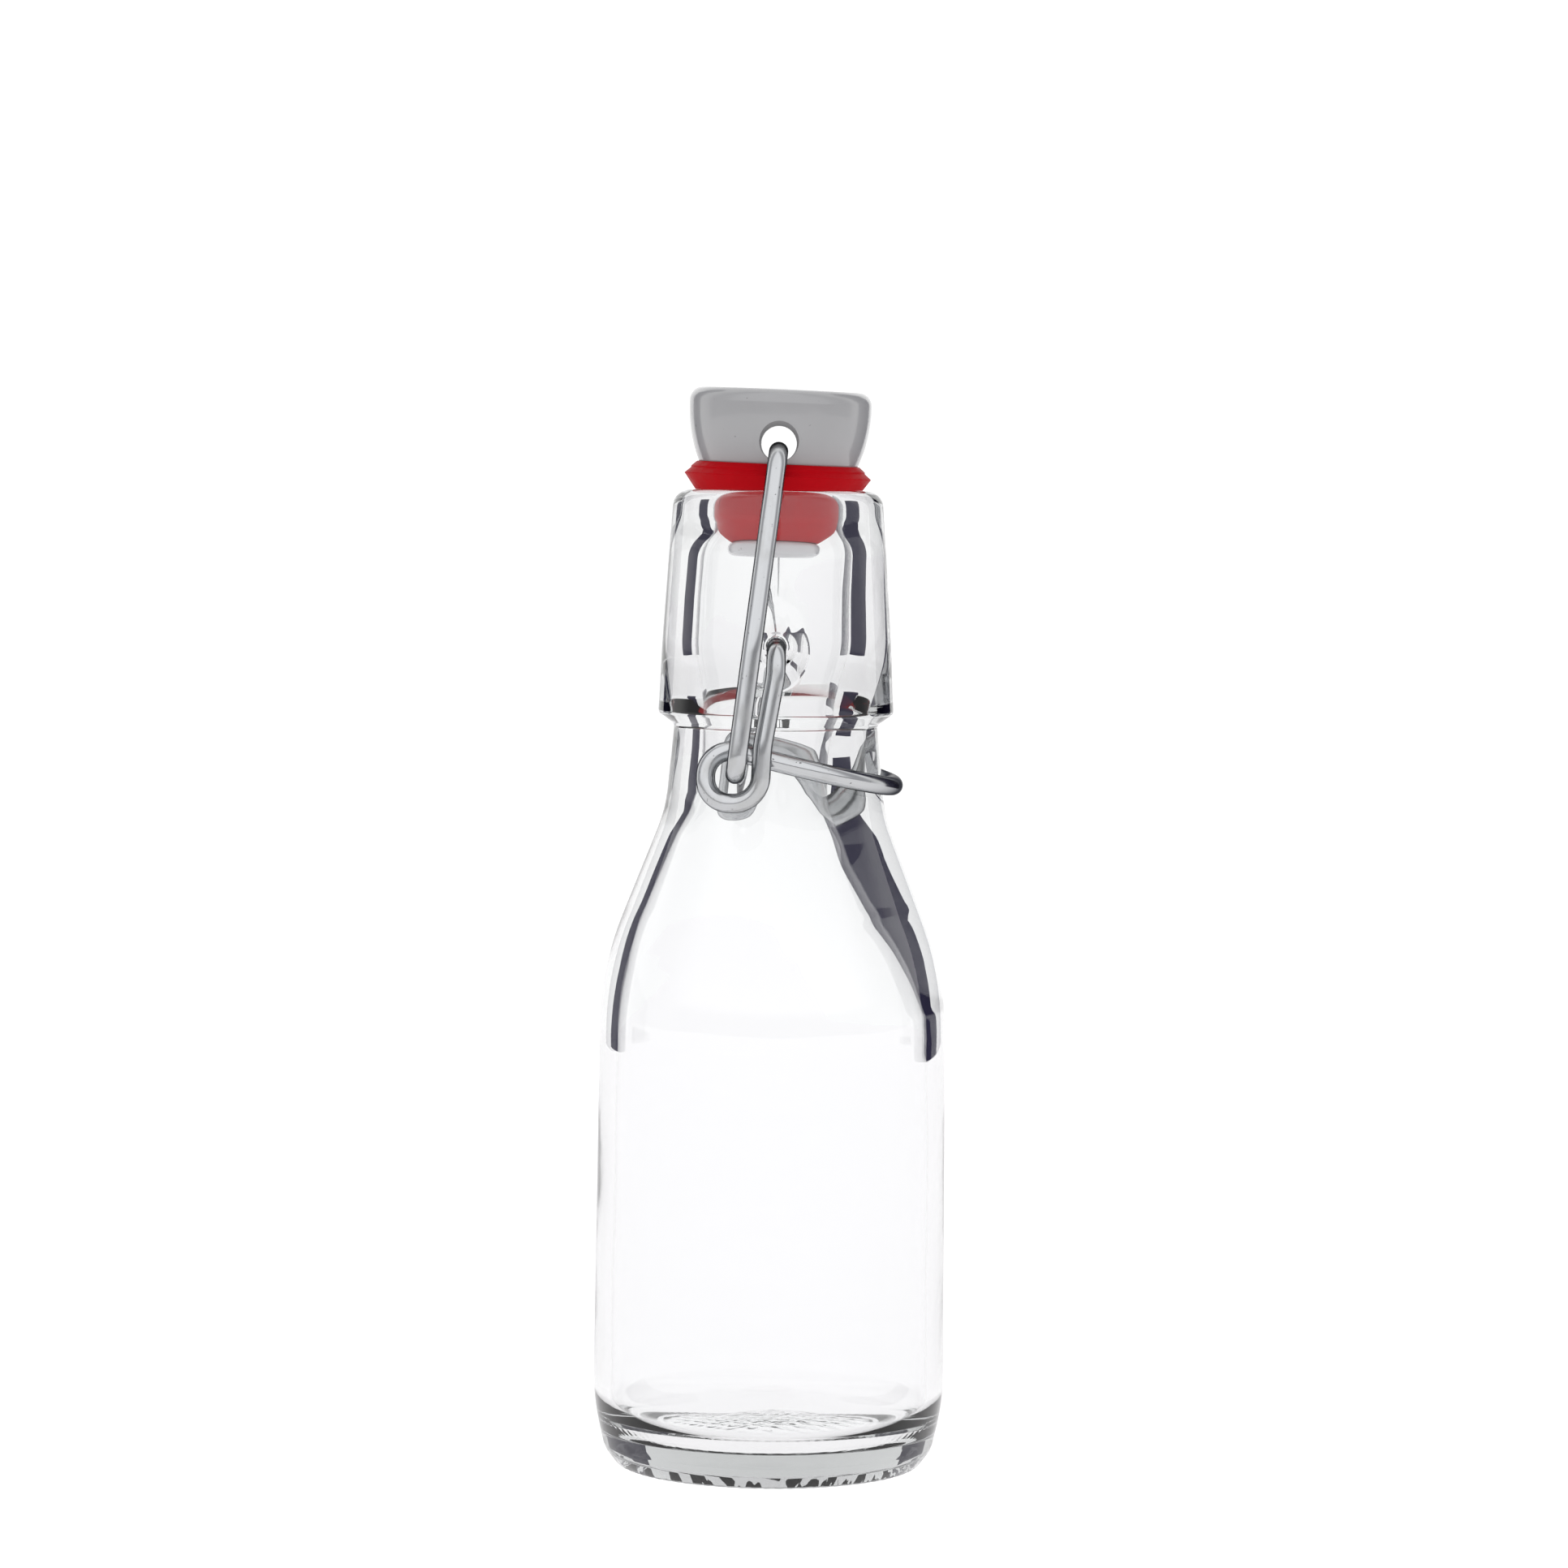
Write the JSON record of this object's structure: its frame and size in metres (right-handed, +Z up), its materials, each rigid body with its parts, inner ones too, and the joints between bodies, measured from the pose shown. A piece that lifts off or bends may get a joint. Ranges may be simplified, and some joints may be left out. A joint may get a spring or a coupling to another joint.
{
  "type": "swing-top bottle",
  "caption": "Small clear-glass bottle with a swing-top closure: a ceramic stopper with a red rubber seal, held by a wire bail and a locking lever.",
  "frame": {"origin": "centre of the bearing ring that the bottle stands on", "axes": "+Z up along the bottle's axis, +X towards the bow of the locking lever, Y along the pivots of both wires"},
  "size_m": [0.0462, 0.0462, 0.1414],
  "materials": {
    "clear_glass": "clear, polished",
    "spring_wire": "drawn galvanised wire, satin",
    "glazed_ceramic": "glazed, light grey-white, opaque",
    "red_rubber": "matt moulded rubber"
  },
  "bodies": {
    "bottle": {"bottle": "clear_glass"},
    "lever": {"lever": "spring_wire"},
    "bail": {"bail": "spring_wire"},
    "stopper": {"stopper": "glazed_ceramic", "seal": "red_rubber"}
  },
  "joints": [
    {"name": "lever_swing", "type": "hinge", "parent": "bottle", "child": "lever", "pos_m": [0, 0, 0.1079], "axis": [0, -1, 0], "range_deg": [0, 100]},
    {"name": "bail_hook", "type": "hinge", "parent": "lever", "child": "bail", "pos_m": [-0.00509, 0, 0.09185], "axis": [0, -1, 0], "range_deg": [-65, 0]},
    {"name": "stopper_turn", "type": "hinge", "parent": "bail", "child": "stopper", "pos_m": [0, 0, 0.13305], "axis": [0, -1, 0], "range_deg": [-35, 0], "deforming": ["seal"]}
  ],
  "couplings": [
    {"joint": "bail_hook", "follows": "lever_swing", "ratio": -0.65},
    {"joint": "stopper_turn", "follows": "lever_swing", "ratio": -0.35}
  ]
}
